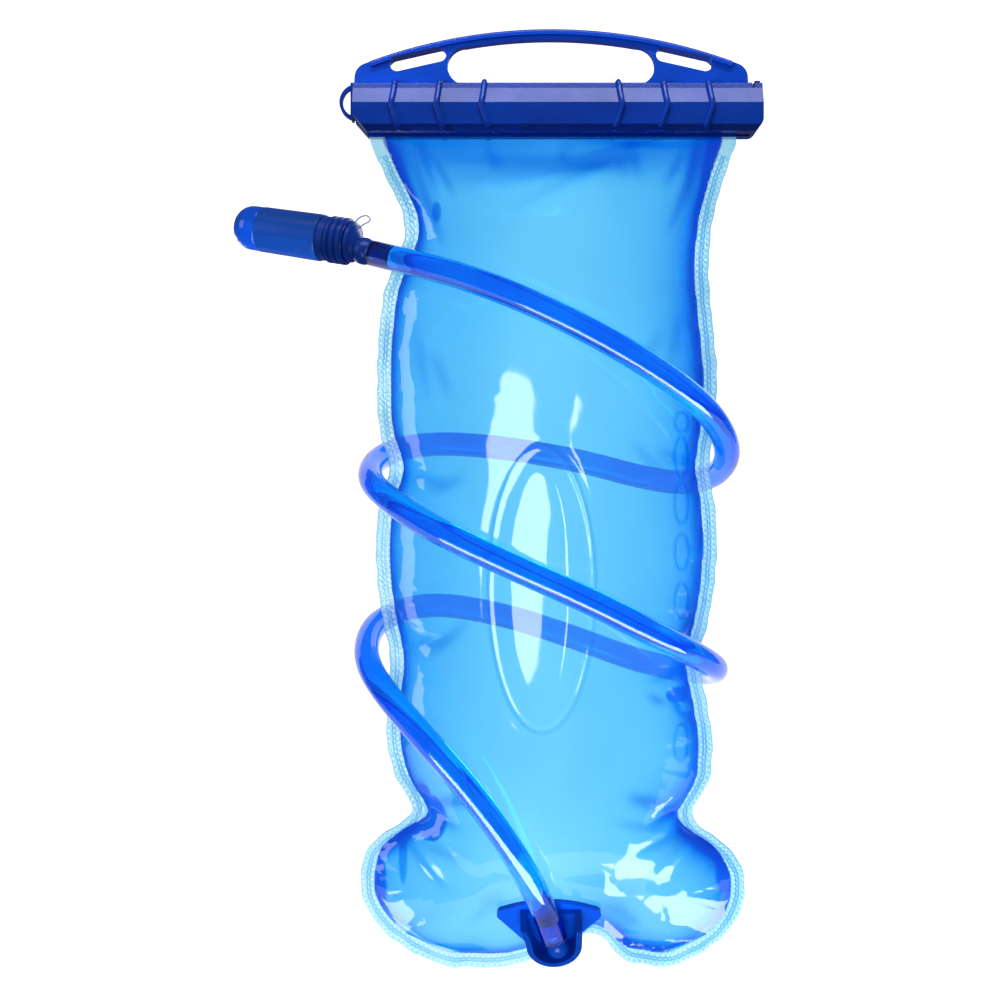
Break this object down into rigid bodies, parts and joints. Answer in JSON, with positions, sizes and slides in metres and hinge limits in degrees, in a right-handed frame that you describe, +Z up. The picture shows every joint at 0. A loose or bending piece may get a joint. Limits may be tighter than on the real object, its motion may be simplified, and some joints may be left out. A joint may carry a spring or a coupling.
{
  "type": "hydration bladder",
  "caption": "Soft clear drinking-water pouch with a slide-off top closure, carry handle, outlet elbow, coiled drink tube and capped bite valve.",
  "frame": {"origin": "hanging point: the middle of the underside of the handle's grip bar", "axes": "+Z up along the hanging bladder, +X to the right of the front face, -Y out of the front face where the tube leaves"},
  "size_m": [0.2378, 0.0971, 0.4194],
  "materials": {
    "navy_plastic": "semi-gloss moulded polypropylene, deep blue",
    "rail_plastic": "semi-gloss extruded, blue",
    "hem_film": "clear blue film, doubled and welded",
    "clear_film": "glossy clear blue film",
    "port_plastic": "glossy moulded, deep blue",
    "seal_rubber": "matte",
    "clear_tube": "glossy clear blue flexible tube",
    "valve_plastic": "semi-gloss moulded, deep blue",
    "silicone": "satin translucent silicone",
    "cap_plastic": "semi-gloss moulded, deep blue",
    "tether_plastic": "thin translucent plastic"
  },
  "bodies": {
    "slider": {"closure_channel": "navy_plastic", "carry_handle": "navy_plastic", "channel_end_cap": "navy_plastic"},
    "reservoir": {"sealing_rail": "rail_plastic", "rail_pull_loop": "navy_plastic", "folded_hem": "hem_film", "front_film": "clear_film", "back_film": "clear_film", "outlet_flange": "port_plastic", "outlet_elbow": "port_plastic", "elbow_o_ring": "seal_rubber", "drink_tube": "clear_tube", "valve_stem": "valve_plastic", "stem_o_rings": "seal_rubber", "cap_tether": "tether_plastic"},
    "shutoff": {"shutoff_collar": "valve_plastic", "bite_mouthpiece": "silicone"},
    "dust_cap": {"cap_sleeve": "cap_plastic", "cap_end": "cap_plastic"}
  },
  "joints": [
    {"name": "closure_slide", "type": "slide", "parent": "slider", "child": "reservoir", "axis": [-1, 0, 0], "range_m": [0, 0.19]},
    {"name": "shutoff_twist", "type": "hinge", "parent": "reservoir", "child": "shutoff", "pos_m": [-0.09372, -0.00742, -0.0912], "axis": [-0.9301, 0.316, 0.187], "range_deg": [0, 90]},
    {"name": "dust_cap_slide", "type": "slide", "parent": "shutoff", "child": "dust_cap", "axis": [-0.9301, 0.316, 0.187], "range_m": [0, 0.06]}
  ]
}
